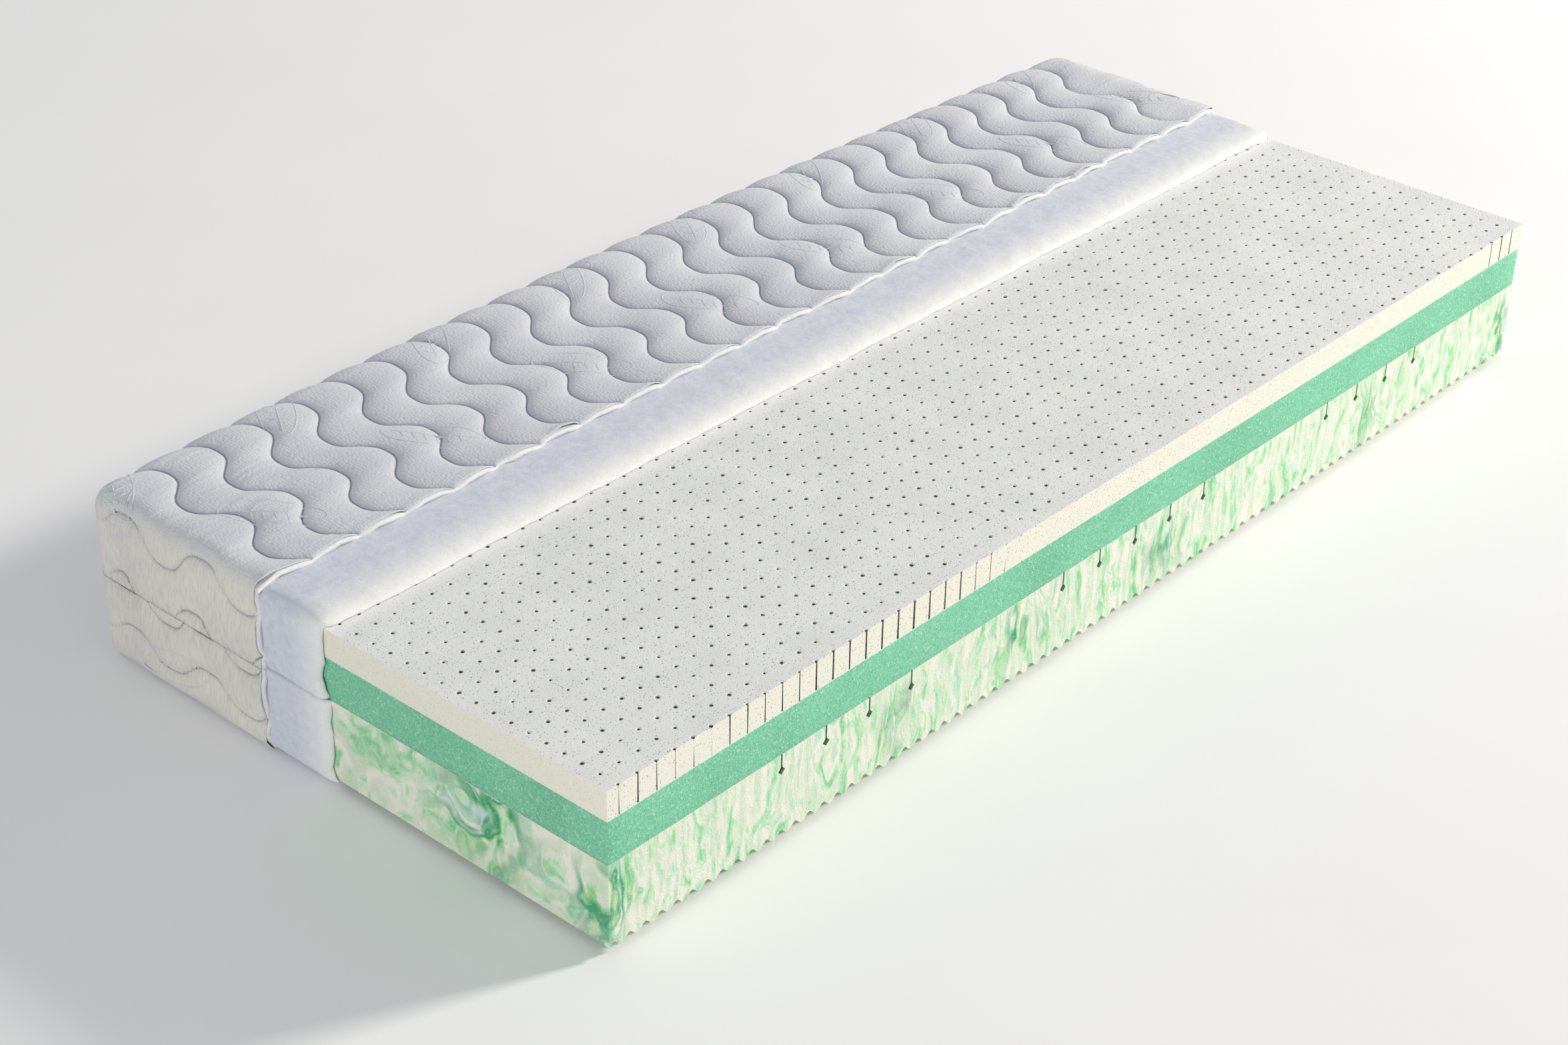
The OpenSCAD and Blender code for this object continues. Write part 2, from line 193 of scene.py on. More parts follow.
fleece = {
    "pale": "#e2e6f1", "deep": "#cdd3e2", "fibre": 1.6 * mm,  # fibres are 0.03 mm, drawn as tufts
    "clump": 11 * mm, "lap": 45 * mm, "white": "#fdfdfb", "whiteFrom": 66 * mm,
}


def fleeceMaterial():
    # Needle-punched polyester wadding: matt, cloudy, with loose fibres that catch the light.
    material, shader = newMaterial("polyester_wadding_needled")
    place = addNode(material, "ShaderNodeTexCoord", {}).outputs["Object"]
    clumps = addNode(material, "ShaderNodeTexNoise", {"Scale": 1 / fleece["clump"], "Detail": 5.0, "Roughness": 0.6},
                     {"Vector": place})
    laps = addNode(material, "ShaderNodeTexNoise", {"Scale": 1 / fleece["lap"], "Detail": 3.0, "Distortion": 0.8},
                   {"Vector": place})
    tufts = addNode(material, "ShaderNodeTexNoise", {"Scale": 1 / fleece["fibre"], "Detail": 4.0, "Roughness": 0.7,
                                                     "Distortion": 1.5}, {"Vector": place})
    tone = addRamp(material, clumps.outputs["Fac"], [(0.25, fleece["deep"]), (0.68, fleece["pale"])])
    tint = addRamp(material, tufts.outputs["Fac"], [(0.35, "#e2e4e8"), (0.6, "#ffffff")])
    # thinner and whiter towards its front edge
    split = addNode(material, "ShaderNodeSeparateXYZ", {}, {0: place})
    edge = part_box("upper_wadding")[0].y
    thin = addNode(material, "ShaderNodeMapRange", {"From Min": edge + fleece["whiteFrom"], "From Max": edge + 5 * mm},
                   {"Value": split.outputs["Y"]})
    faded = addNode(material, "ShaderNodeMix", {"data_type": "RGBA", 7: toLinear(fleece["white"])},
                    {"Factor": thin.outputs[0], 6: tone.outputs[0]})
    colour = addNode(material, "ShaderNodeMix", {"data_type": "RGBA", "blend_type": "MULTIPLY", "Factor": 0.6},
                     {6: faded.outputs[2], 7: tint.outputs[0]})
    joinTo(material, colour.outputs[2], shader.inputs["Base Color"])
    soft = addNode(material, "ShaderNodeBump", {"Strength": 0.6, "Distance": 2.5 * mm}, {"Height": laps.outputs["Fac"]})
    mid = addNode(material, "ShaderNodeBump", {"Strength": 0.5, "Distance": 1.6 * mm},
                  {"Height": clumps.outputs["Fac"], "Normal": soft.outputs[0]})
    fine = addNode(material, "ShaderNodeBump", {"Strength": 0.7, "Distance": 0.7 * mm},
                   {"Height": tufts.outputs["Fac"], "Normal": mid.outputs[0]})
    joinTo(material, fine.outputs[0], shader.inputs["Normal"])
    shader.inputs["Roughness"].default_value = 0.95
    shader.inputs["Sheen Weight"].default_value = 0.5
    shader.inputs["Sheen Roughness"].default_value = 0.6
    shader.inputs["Specular IOR Level"].default_value = 0.15
    return material


def fillMaterial():
    # Carded polyester fill behind the knit: bright white, matt, with stray fibres.
    material, shader = newMaterial("polyester_fill_carded")
    place = addNode(material, "ShaderNodeTexCoord", {}).outputs["Object"]
    fibres = addNode(material, "ShaderNodeTexNoise", {"Scale": 700.0, "Detail": 4.0, "Distortion": 2.0},
                     {"Vector": place})
    tone = addRamp(material, fibres.outputs["Fac"], [(0.25, "#eceef0"), (0.55, "#ffffff")])
    joinTo(material, tone.outputs[0], shader.inputs["Base Color"])
    bump = addNode(material, "ShaderNodeBump", {"Strength": 0.8, "Distance": 1.0 * mm}, {"Height": fibres.outputs["Fac"]})
    joinTo(material, bump.outputs[0], shader.inputs["Normal"])
    shader.inputs["Roughness"].default_value = 0.95
    shader.inputs["Sheen Weight"].default_value = 0.4
    return material


comfortFoam = {
    "pale": "#f0f2ee", "cream": "#e8eae7", "side": "#eeecde", "speck": "#4a5f94", "fluff": "#fcfcfb",
    "cell": 1.8 * mm,  # cells are 0.3 mm, drawn coarser
    "dash": 3.6 * mm,
}


def comfortMaterial():
    # Viscoelastic polyurethane foam, cut with a band knife: off-white, matt, open celled, with fine dark specks.
    material, shader = newMaterial("memory_foam_cut")
    place = addNode(material, "ShaderNodeTexCoord", {}).outputs["Object"]
    cells = addNode(material, "ShaderNodeTexVoronoi", {"Scale": 1 / comfortFoam["cell"], "Randomness": 1.0},
                    {"Vector": place})
    cloud = addNode(material, "ShaderNodeTexNoise", {"Scale": 12.0, "Detail": 4.0}, {"Vector": place})
    dashes = addNode(material, "ShaderNodeTexVoronoi", {"Scale": 1 / comfortFoam["dash"], "Randomness": 1.0},
                     {"Vector": place})
    skin = addRamp(material, cloud.outputs["Fac"], [(0.3, comfortFoam["cream"]), (0.65, comfortFoam["pale"])])
    # the sawn sides are creamier than the moulded top
    facing = addNode(material, "ShaderNodeNewGeometry", {})
    upright = addNode(material, "ShaderNodeSeparateXYZ", {}, {0: facing.outputs["True Normal"]})
    tone = addNode(material, "ShaderNodeMix", {"data_type": "RGBA", 6: toLinear(comfortFoam["side"])},
                   {"Factor": upright.outputs["Z"], 7: skin.outputs[0]})
    speck = addRamp(material, dashes.outputs["Distance"], [(0.17, "#ffffff"), (0.25, "#000000")])
    chosen = addNode(material, "ShaderNodeSeparateColor", {}, {0: dashes.outputs["Color"]})
    mask = addNode(material, "ShaderNodeMath", {"operation": "MULTIPLY"}, {0: speck.outputs[0], 1: chosen.outputs[0]})
    colour = addNode(material, "ShaderNodeMix", {"data_type": "RGBA", 7: toLinear(comfortFoam["speck"])},
                     {"Factor": mask.outputs[0], 6: tone.outputs[2]})
    # loose fleece fibres lie over the foam in front of the wadding
    split = addNode(material, "ShaderNodeSeparateXYZ", {}, {0: place})
    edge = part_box("upper_wadding")[0].y
    fade = addNode(material, "ShaderNodeMapRange", {"From Min": edge - 26 * mm, "From Max": edge + 2 * mm},
                   {"Value": split.outputs["Y"]})
    soft = addNode(material, "ShaderNodeMath", {"operation": "MULTIPLY"}, {0: fade.outputs[0], 1: upright.outputs["Z"]})
    fluffy = addNode(material, "ShaderNodeMix", {"data_type": "RGBA", 7: toLinear(comfortFoam["fluff"])},
                     {"Factor": soft.outputs[0], 6: colour.outputs[2]})
    joinTo(material, fluffy.outputs[2], shader.inputs["Base Color"])
    cellBump = addNode(material, "ShaderNodeBump", {"Strength": 0.45, "Distance": 0.6 * mm},
                       {"Height": cells.outputs["Distance"]})
    cutBump = addNode(material, "ShaderNodeBump", {"Strength": 0.4, "Distance": 1.5 * mm},
                      {"Height": cloud.outputs["Fac"], "Normal": cellBump.outputs[0]})
    joinTo(material, cutBump.outputs[0], shader.inputs["Normal"])
    shader.inputs["Roughness"].default_value = 0.9
    shader.inputs["Specular IOR Level"].default_value = 0.25
    shader.inputs["Subsurface Weight"].default_value = 0.08
    shader.inputs["Subsurface Scale"].default_value = 0.01
    return material


supportFoam = {"mint": "#82d4ad", "deep": "#7bcba5", "pale": "#8bdab5", "glint": "#dff7ea", "cell": 2.0 * mm}


def supportMaterial():
    # High-resilience polyurethane foam, dyed mint: open cells, some of whose skins glint.
    material, shader = newMaterial("resilient_foam_mint")
    place = addNode(material, "ShaderNodeTexCoord", {}).outputs["Object"]
    cells = addNode(material, "ShaderNodeTexVoronoi", {"Scale": 1 / supportFoam["cell"]}, {"Vector": place})
    cloud = addNode(material, "ShaderNodeTexNoise", {"Scale": 7.0, "Detail": 5.0}, {"Vector": place})
    tone = addRamp(material, cloud.outputs["Fac"],
                   [(0.3, supportFoam["deep"]), (0.5, supportFoam["mint"]), (0.75, supportFoam["pale"])])
    dots = addNode(material, "ShaderNodeSeparateColor", {}, {0: cells.outputs["Color"]})
    shade = addRamp(material, dots.outputs[0], [(0.0, "#c8c8c8"), (0.8, "#ffffff")])
    mottled = addNode(material, "ShaderNodeMix", {"data_type": "RGBA", "blend_type": "MULTIPLY", "Factor": 0.6},
                      {6: tone.outputs[0], 7: shade.outputs[0]})
    glint = addRamp(material, dots.outputs[2], [(0.90, "#000000"), (0.97, "#b0b0b0")])
    colour = addNode(material, "ShaderNodeMix", {"data_type": "RGBA", 7: toLinear(supportFoam["glint"])},
                     {"Factor": glint.outputs[0], 6: mottled.outputs[2]})
    joinTo(material, colour.outputs[2], shader.inputs["Base Color"])
    rough = addRamp(material, dots.outputs[1], [(0.0, "#e6e6e6"), (0.88, "#d0d0d0"), (0.93, "#505050")])
    joinTo(material, rough.outputs[0], shader.inputs["Roughness"])
    bump = addNode(material, "ShaderNodeBump", {"Strength": 0.5, "Distance": 0.8 * mm}, {"Height": cells.outputs["Distance"]})
    joinTo(material, bump.outputs[0], shader.inputs["Normal"])
    shader.inputs["Specular IOR Level"].default_value = 0.4
    return material


baseFoam = {
    "cell": 2.2 * mm, "cream": "#f0eee2", "veil": "#cfeccc", "mintVeil": "#bfe8d2", "lime": "#86c85c",
    "green": "#4bb571", "teal": "#2b9a78", "blue": "#a6d3e2", "glint": "#ffffff",
    "flow": (75.0, 11.0, 8.0), "streak": (170.0, 16.0, 7.0),   # the colours ran down the block
    # where the strongest colours were poured: place, reach and weakness
    "pours": (((-1.0, -0.25, 0.085), 0.14, 0.0), ((-1.0, -0.45, 0.05), 0.09, 0.0), ((-0.52, -0.45, 0.07), 0.10, 0.25),
              ((-0.25, -0.45, 0.08), 0.10, 0.2), ((0.06, -0.45, 0.06), 0.13, 0.35), ((0.6, -0.45, 0.07), 0.12, 0.4),
              ((0.98, -0.45, 0.06), 0.09, 0.2), ((0.35, 0.45, 0.06), 0.20, 0.2), ((-0.55, 0.45, 0.06), 0.15, 0.2),
              ((1.0, 0.1, 0.06), 0.20, 0.1)),
}


def baseMaterial():
    # Polyurethane foam poured in several colours: cream, with veils and swirls of green, lime, teal and blue.
    material, shader = newMaterial("marbled_base_foam")
    place = addNode(material, "ShaderNodeTexCoord", {}).outputs["Object"]
    sized = addNode(material, "ShaderNodeMapping", {"Scale": baseFoam["flow"]}, {"Vector": place})
    coarse = addNode(material, "ShaderNodeMapping", {"Scale": (15.0, 9.0, 8.0)}, {"Vector": place})
    warp = addNode(material, "ShaderNodeTexNoise", {"Scale": 1.1, "Detail": 2.0}, {"Vector": coarse.outputs[0]})
    shift = addNode(material, "ShaderNodeVectorMath", {"operation": "SCALE", "Scale": 7.0}, {0: warp.outputs["Color"]})
    bent = addNode(material, "ShaderNodeVectorMath", {"operation": "ADD"}, {0: sized.outputs[0], 1: shift.outputs[0]})
    veils = addNode(material, "ShaderNodeTexNoise", {"Scale": 0.8, "Detail": 5.0, "Roughness": 0.6},
                    {"Vector": bent.outputs[0]})
    ground = addRamp(material, veils.outputs["Fac"],
                     [(0.33, baseFoam["mintVeil"]), (0.42, baseFoam["cream"]), (0.51, baseFoam["cream"]),
                      (0.57, baseFoam["veil"]), (0.65, "#a5ddb0"), (0.74, "#7bcc9c")])
    # fine streaks, drawn out up and down
    drawn = addNode(material, "ShaderNodeMapping", {"Scale": baseFoam["streak"]}, {"Vector": place})
    swayed = addNode(material, "ShaderNodeVectorMath", {"operation": "ADD"}, {0: drawn.outputs[0], 1: shift.outputs[0]})
    streaks = addNode(material, "ShaderNodeTexNoise", {"Scale": 0.7, "Detail": 3.0}, {"Vector": swayed.outputs[0]})
    tint = addRamp(material, streaks.outputs["Fac"], [(0.42, "#ffffff"), (0.60, "#cfeed6")])
    streaked = addNode(material, "ShaderNodeMix", {"data_type": "RGBA", "blend_type": "MULTIPLY", "Factor": 0.6},
                       {6: ground.outputs[0], 7: tint.outputs[0]})
    # distance from the nearest pour, torn up by the same flow
    tear = addNode(material, "ShaderNodeVectorMath", {"operation": "SCALE", "Scale": 0.16}, {0: warp.outputs["Color"]})
    moved = addNode(material, "ShaderNodeVectorMath", {"operation": "ADD", 1: (-0.08, -0.08, -0.08)}, {0: place})
    torn = addNode(material, "ShaderNodeVectorMath", {"operation": "ADD"}, {0: moved.outputs[0], 1: tear.outputs[0]})
    nearest = None
    for centre, reach, weakness in baseFoam["pours"]:
        away = addNode(material, "ShaderNodeVectorMath", {"operation": "DISTANCE", 1: centre}, {0: torn.outputs[0]})
        share = addNode(material, "ShaderNodeMath", {"operation": "MULTIPLY_ADD", 1: 1 / reach, 2: weakness},
                        {0: away.outputs["Value"]})
        if nearest:
            share = addNode(material, "ShaderNodeMath", {"operation": "MINIMUM"},
                            {0: share.outputs[0], 1: nearest.outputs[0]})
        nearest = share
    where = addRamp(material, nearest.outputs[0], [(0.30, "#ffffff"), (0.85, "#000000")])
    swirls = addNode(material, "ShaderNodeTexNoise", {"Scale": 0.52, "Detail": 2.0, "Roughness": 0.5,
                                                      "Distortion": 0.35}, {"Vector": bent.outputs[0]})
    hue = addRamp(material, swirls.outputs["Fac"],
                  [(0.38, baseFoam["veil"]), (0.43, baseFoam["lime"]), (0.48, baseFoam["green"]),
                   (0.53, baseFoam["teal"]), (0.57, baseFoam["green"]), (0.61, baseFoam["blue"]),
                   (0.64, baseFoam["cream"])])
    thin = addRamp(material, swirls.outputs["Fac"],
                   [(0.38, "#000000"), (0.44, "#c4c4c4"), (0.50, "#ffffff"), (0.58, "#dcdcdc"), (0.64, "#202020")])
    strength = addNode(material, "ShaderNodeMath", {"operation": "MULTIPLY"}, {0: where.outputs[0], 1: thin.outputs[0]})
    tone = addNode(material, "ShaderNodeMix", {"data_type": "RGBA"},
                   {"Factor": strength.outputs[0], 6: streaked.outputs[2], 7: hue.outputs[0]})
    cells = addNode(material, "ShaderNodeTexVoronoi", {"Scale": 1 / baseFoam["cell"]}, {"Vector": place})
    # painted shade: each foam cell is darker at its middle, the pit that the bump sinks
    poreShade = addRamp(material, cells.outputs["Distance"], [(0.0, "#e6e6e6"), (0.4, "#ffffff")])
    poreShaded = addNode(material, "ShaderNodeMix", {"data_type": "RGBA", "blend_type": "MULTIPLY", "Factor": 0.5},
                     {6: tone.outputs[2], 7: poreShade.outputs[0]})
    dots = addNode(material, "ShaderNodeSeparateColor", {}, {0: cells.outputs["Color"]})
    glint = addRamp(material, dots.outputs[2], [(0.90, "#000000"), (0.97, "#808080")])
    colour = addNode(material, "ShaderNodeMix", {"data_type": "RGBA", 7: toLinear(baseFoam["glint"])},
                     {"Factor": glint.outputs[0], 6: poreShaded.outputs[2]})
    joinTo(material, colour.outputs[2], shader.inputs["Base Color"])
    bump = addNode(material, "ShaderNodeBump", {"Strength": 0.5, "Distance": 0.8 * mm}, {"Height": cells.outputs["Distance"]})
    joinTo(material, bump.outputs[0], shader.inputs["Normal"])
    shader.inputs["Roughness"].default_value = 0.88
    shader.inputs["Specular IOR Level"].default_value = 0.3
    return material


def plainMaterial(name, pale, deep, scale, roughness, metallic=0.0, bumpHeight=0.1 * mm):
    # Small trim: a fine grain in two close tones
    material, shader = newMaterial(name)
    place = addNode(material, "ShaderNodeTexCoord", {}).outputs["Object"]
    speckle = addNode(material, "ShaderNodeTexNoise", {"Scale": scale, "Detail": 3.0}, {"Vector": place})
    tone = addRamp(material, speckle.outputs["Fac"], [(0.35, deep), (0.65, pale)])
    joinTo(material, tone.outputs[0], shader.inputs["Base Color"])
    bump = addNode(material, "ShaderNodeBump", {"Strength": 0.5, "Distance": bumpHeight}, {"Height": speckle.outputs["Fac"]})
    joinTo(material, bump.outputs[0], shader.inputs["Normal"])
    shader.inputs["Roughness"].default_value = roughness
    shader.inputs["Metallic"].default_value = metallic
    return material


# ---- camera, light and floor ----

print("camera, light and floor")

view = {"place": (-2.7596, -2.2556, 2.1084), "forward": (0.6418, 0.5635, -0.5202),
        "right": (0.66732, -0.74459, 0.01667), "lens": 65.42}

cameraData = bpy.data.cameras.new("camera")
cameraData.lens = view["lens"]
cameraData.clip_end = 50
camera = bpy.data.objects.new("camera", cameraData)
forward = Vector(view["forward"]).normalized()
right = Vector(view["right"]).normalized()
upward = right.cross(forward)
turn = Matrix((right, upward, -forward)).transposed()
camera.matrix_world = Matrix.Translation(view["place"]) @ turn.to_4x4()
bpy.context.scene.collection.objects.link(camera)
bpy.context.scene.camera = camera

studio = {"key": {"place": (8.5, -4.6, 4.2), "size": 1.5, "power": 1030.0, "colour": "#fff9ef"},
          "fill": {"place": (-5.5, -1.5, 1.2), "size": 2.5, "power": 60.0, "colour": "#fffdf6"},
          "sky": "#f6f8fd", "skyStrength": 0.50}

for name in ("key", "fill"):
    lamp = studio[name]
    data = bpy.data.lights.new(name, "AREA")
    data.size = lamp["size"]
    data.energy = lamp["power"]
    data.color = toLinear(lamp["colour"])[:3]
    light = bpy.data.objects.new(name, data)
    light.location = lamp["place"]
    aim = Vector((0, 0, 0.15)) - light.location
    light.rotation_euler = aim.to_track_quat("-Z", "Y").to_euler()
    bpy.context.scene.collection.objects.link(light)

world = bpy.data.worlds.new("studio")
world.use_nodes = True
world.node_tree.nodes["Background"].inputs["Color"].default_value = toLinear(studio["sky"])
world.node_tree.nodes["Background"].inputs["Strength"].default_value = studio["skyStrength"]
bpy.context.scene.world = world
bpy.context.scene.view_settings.view_transform = "Standard"

bm = bmesh.new()
bmesh.ops.create_grid(bm, x_segments=1, y_segments=1, size=12)
bmesh.ops.translate(bm, verts=bm.verts, vec=(0, 0, -0.6 * mm))
floorMesh = bpy.data.meshes.new("floor")
bm.to_mesh(floorMesh)
bm.free()
floor = bpy.data.objects.new("floor", floorMesh)
bpy.context.scene.collection.objects.link(floor)
floorMesh.materials.append(plainMaterial("painted_studio_floor", "#fcfcfc", "#fafafa", 2.0, 0.9))


# ---- the cover's panels as folded sheets ----

quilt = {
    "pitch": 77.5 * mm, "shift": -10 * mm, "lineCount": 12, "waveLength": 153 * mm,
    "amplitude": 19.5 * mm, "crest": 865 * mm, "puff": 7.6 * mm, "groove": 3.6 * mm, "pull": 1.2 * mm,
    "shares": (0.0, 0.025, 0.07, 0.14, 0.25, 0.40, 0.56, 0.71, 0.83, 0.92, 0.97),
}


def wave(turns):
    # a sine with a slightly flattened crest
    return (math.sin(2 * math.pi * turns) + 0.08 * math.sin(6 * math.pi * turns)) / 0.92


def lineOffset(line, t):
    return line["amplitude"] * wave((t - frontY - line["crest"]) / quilt["waveLength"] + 0.25)


def quiltLines(halfLength, leftEnd, rightEnd):
    # the lines across the face, and those that run along each end's border
    lines = [{"centre": quilt["shift"] + k * quilt["pitch"], "amplitude": quilt["amplitude"],
              "crest": quilt["crest"]} for k in range(-quilt["lineCount"], quilt["lineCount"] + 1)]
    lines += [{"centre": -halfLength - d, "amplitude": a, "crest": c} for d, a, c in leftEnd]
    lines += [{"centre": halfLength + d, "amplitude": -a, "crest": c} for d, a, c in rightEnd]
    return sorted(lines, key=lambda line: line["centre"])


def squareness(panel, s, t):
    # 0 at the two upright back corners, where the sheet's edges meet, and 1 away from them
    alongX = smoothStep(panel["halfLength"] - 0.06, panel["halfLength"], abs(s))
    alongY = smoothStep(panel["back"] - 0.06, panel["back"], t)
    return 1 - alongX * alongY


def bracket(panel, s, t):
    # the lines on both sides of a point, and its share of the way from one to the other
    lines = panel["lines"]
    keep = squareness(panel, s, t)
    k = min(max(bisect.bisect_right(panel["centres"], s) - 1, 0), len(lines) - 2)
    while k > 0 and s < lines[k]["centre"] + keep * lineOffset(lines[k], t):
        k -= 1
    while k < len(lines) - 2 and s >= lines[k + 1]["centre"] + keep * lineOffset(lines[k + 1], t):
        k += 1
    a = lines[k]["centre"] + keep * lineOffset(lines[k], t)
    b = lines[k + 1]["centre"] + keep * lineOffset(lines[k + 1], t)
    return k, min(max((s - a) / (b - a), 0.0), 1.0)


def waved(panel, s, t):
    # moves a straight column of the sheet onto the waves
    lines = panel["lines"]
    if not lines:
        return s
    k = min(max(bisect.bisect_right(panel["centres"], s) - 1, 0), len(lines) - 2)
    share = (s - lines[k]["centre"]) / (lines[k + 1]["centre"] - lines[k]["centre"])
    offset = mixed(lineOffset(lines[k], t), lineOffset(lines[k + 1], t), min(max(share, 0.0), 1.0))
    return s + offset * squareness(panel, s, t)


def depthOf(panel, s, t):
    return max(abs(s) - panel["halfLength"], 0.0) + max(t - panel["back"], 0.0)


def foldPoint(panel, s, t, lift):
    # folds the flat sheet over a box, and rounds the box's edges
    reach, back, r, up = panel["halfLength"], panel["back"], panel["radius"], panel["up"]
    x = min(max(s, -reach), reach)
    y = min(t, back)
    z = panel["face"] - up * depthOf(panel, s, t)
    innerZ = min(z, panel["face"] - r) if up > 0 else max(z, panel["face"] + r)
    inner = Vector((min(max(x, r - reach), reach - r), min(y, back - r), innerZ))
    outward = (Vector((x, y, z)) - inner).normalized()
    return inner + outward * (r + lift), outward


def wrinkles(panel, s, t):
    # long fine folds across the width of the end, strongest at the left edge
    left = smoothStep(-panel["halfLength"] + 0.34, -panel["halfLength"] + 0.02, s)
    rightSide = smoothStep(panel["halfLength"] - 0.22, panel["halfLength"] - 0.02, s)
    strength = 0.16 + 1.0 * left + 0.6 * rightSide
    fold = grain(s / 0.085 + 0.5 * grain(s / 0.04, t / 0.04, 3.0), t / 0.0125, 7.0)
    crumple = grain(s / 0.03, t / 0.022, 17.0)
    return (2.4 * abs(fold) * strength + 0.35 * crumple) * mm


def nearLine(panel, s, t):
    # 1 on a quilting line or at the zip's lips, 0 a few millimetres away
    if not panel["lines"]:
        return 0.0
    k, share = bracket(panel, s, t)
    lines = panel["lines"]
    width = lines[k + 1]["centre"] - lines[k]["centre"]
    return squareness(panel, s, t) * smoothStep(quilt["groove"], 0.0, min(share, 1 - share) * width)


def quiltLift(panel, s, t):
    # how far the padded knit stands off the panel's plain surface
    depth = depthOf(panel, s, t)
    k, share = bracket(panel, s, t)
    puff = (1 - abs(2 * share - 1) ** 2.0) ** 0.72
    toSeam = smoothStep(0.0, 0.012, panel["seamDepth"] - depth)
    height = quilt["puff"] * (puff - 0.58) * mixed(0.15, 1.0, toSeam) - quilt["pull"] * nearLine(panel, s, t)
    height += wrinkles(panel, s, t) * mixed(0.3, 1.0, min(puff * 1.6, 1.0)) * toSeam
    across = 1 - (s / panel["halfLength"]) ** 2 if abs(s) < panel["halfLength"] else 0.0
    bulge = panel["bulge"] * across * smoothStep(0.0, 0.05, panel["seamDepth"] - depth)
    bulge *= smoothStep(panel["back"] - 0.16, panel["back"], t)
    height += bulge - panel["tuck"] * (1 - toSeam)
    # the zip's lips can't sink into its tape
    overTape = smoothStep(0.016, 0.0115, panel["seamDepth"] - depth)
    height = mixed(height, max(height, -0.1 * mm), overTape)
    if panel["up"] < 0:
        # pressed flat where it lies on the floor
        height = mixed(min(height, 0.0) * 0.2, height, smoothStep(0.004, 0.035, depth))
    else:
        height += 2.5 * mm * across * smoothStep(panel["front"], panel["back"], t)
    return height * squareness(panel, s, t)


def cutEdge(panel, s):
    # ragged line of a cut or torn edge, as a shift of the sheet's front
    size = panel["ragged"]
    return size * (0.9 * grain(s / 0.11, 1.0, panel["seed"]) + 0.5 * grain(s / 0.021, 2.0, panel["seed"])
                   + 0.25 * grain(s / 0.006, 3.0, panel["seed"]))


def evenRows(start, end, step):
    count = max(int(round((end - start) / step)), 1)
    return [mixed(start, end, k / count) for k in range(count)]


def sheetGrid(columns, rows, place, keepFace):
    # a flat grid whose columns and rows are given, and whose map is its flat cloth
    bm = bmesh.new()
    bmesh.ops.create_grid(bm, x_segments=len(columns) - 1, y_segments=len(rows) - 1, size=1)
    bm.verts.layers.deform.verify()
    bm.verts.layers.float.new("crease")
    flat = {}
    for v in bm.verts:
        i = int(round((v.co.x + 1) / 2 * (len(columns) - 1)))
        j = int(round((v.co.y + 1) / 2 * (len(rows) - 1)))
        flat[v] = place(columns[i], rows[j])
        v.co = (columns[i], rows[j], 0)
    uv = bm.loops.layers.uv.new("cloth")
    for face in bm.faces:
        for loop in face.loops:
            loop[uv].uv = flat[loop.vert]
    unwanted = [f for f in bm.faces if not keepFace(f.calc_center_median())]
    bmesh.ops.delete(bm, geom=unwanted, context="FACES")
    return bm, flat


def foldSheet(panel, columns, rows, lift, edge, depth=None):
    # grid, fold, weld at the upright corners, cut along the zip
    reach, back = panel["halfLength"], panel["back"]
    frontRow = rows[0]

    def place(s, t):
        fade = smoothStep(frontRow + 0.035, frontRow, t)
        return waved(panel, s, t), t + edge(panel, s) * fade

    bm, flat = sheetGrid(columns, rows, place, lambda c: not (abs(c.x) > reach and c.y > back))
    weights = bm.verts.layers.deform.active
    creases = bm.verts.layers.float["crease"]
    for v in bm.verts:
        s, t = flat[v]
        v.co, outward = foldPoint(panel, s, t, lift(panel, s, t))
        v.co.z = max(v.co.z, 0.0)
        # the crease attribute marks where the knit's colour gets painted shade along the stitch lines
        v[creases] = nearLine(panel, s, t)
        if depth:
            v[weights][0] = depth(panel, s, t, outward)
    bmesh.ops.remove_doubles(bm, verts=bm.verts, dist=0.02 * mm)
    bmesh.ops.bisect_plane(bm, geom=bm.verts[:] + bm.edges[:] + bm.faces[:], dist=0.01 * mm,
                           plane_co=(0, 0, panel["seam"]), plane_no=(0, 0, -panel["up"]), clear_outer=True)
    if panel["up"] < 0:
        bmesh.ops.reverse_faces(bm, faces=bm.faces)
    return bm


def quiltColumns(panel, shares):
    columns = []
    lines = panel["lines"]
    for a, b in zip(lines, lines[1:]):
        columns += [mixed(a["centre"], b["centre"], share) for share in shares]
    columns.append(lines[-1]["centre"])
    for edge in (-panel["halfLength"], panel["halfLength"]):
        nearest = min(range(len(columns)), key=lambda i: abs(columns[i] - edge))
        columns[nearest] = edge
    return columns


def coverRows(panel, columns, step):
    # rows go back over the face, and then down the back at the ends' own depths
    depths = sorted(c - panel["halfLength"] for c in columns if c >= panel["halfLength"])
    return evenRows(panel["front"], panel["back"], step) + [panel["back"] + d for d in depths]


def coverPanel(box, up, ends, radius, front, ragged, seed, bulge, tuck, lap=0.0):
    low, high = box
    face = high.z if up > 0 else low.z
    seam = low.z - lap if up > 0 else high.z
    panel = {"halfLength": high.x, "front": front, "back": high.y, "face": face, "seam": seam, "up": up,
             "radius": radius, "seamDepth": abs(face - seam), "ragged": ragged, "seed": seed,
             "bulge": bulge, "tuck": tuck}
    panel["lines"] = quiltLines(high.x, ends, ends)
    panel["centres"] = [line["centre"] for line in panel["lines"]]
    return panel


# depth below the edge, height of the wave and place of its crest, for each line along an end's border
upperEnds = [(33 * mm, 24 * mm, 843 * mm), (126 * mm, 24 * mm, 869 * mm), (186 * mm, 24 * mm, 869 * mm)]
lowerEnds = [(54 * mm, -16 * mm, 850 * mm), (131 * mm, -24 * mm, 847 * mm), (190 * mm, -24 * mm, 847 * mm)]

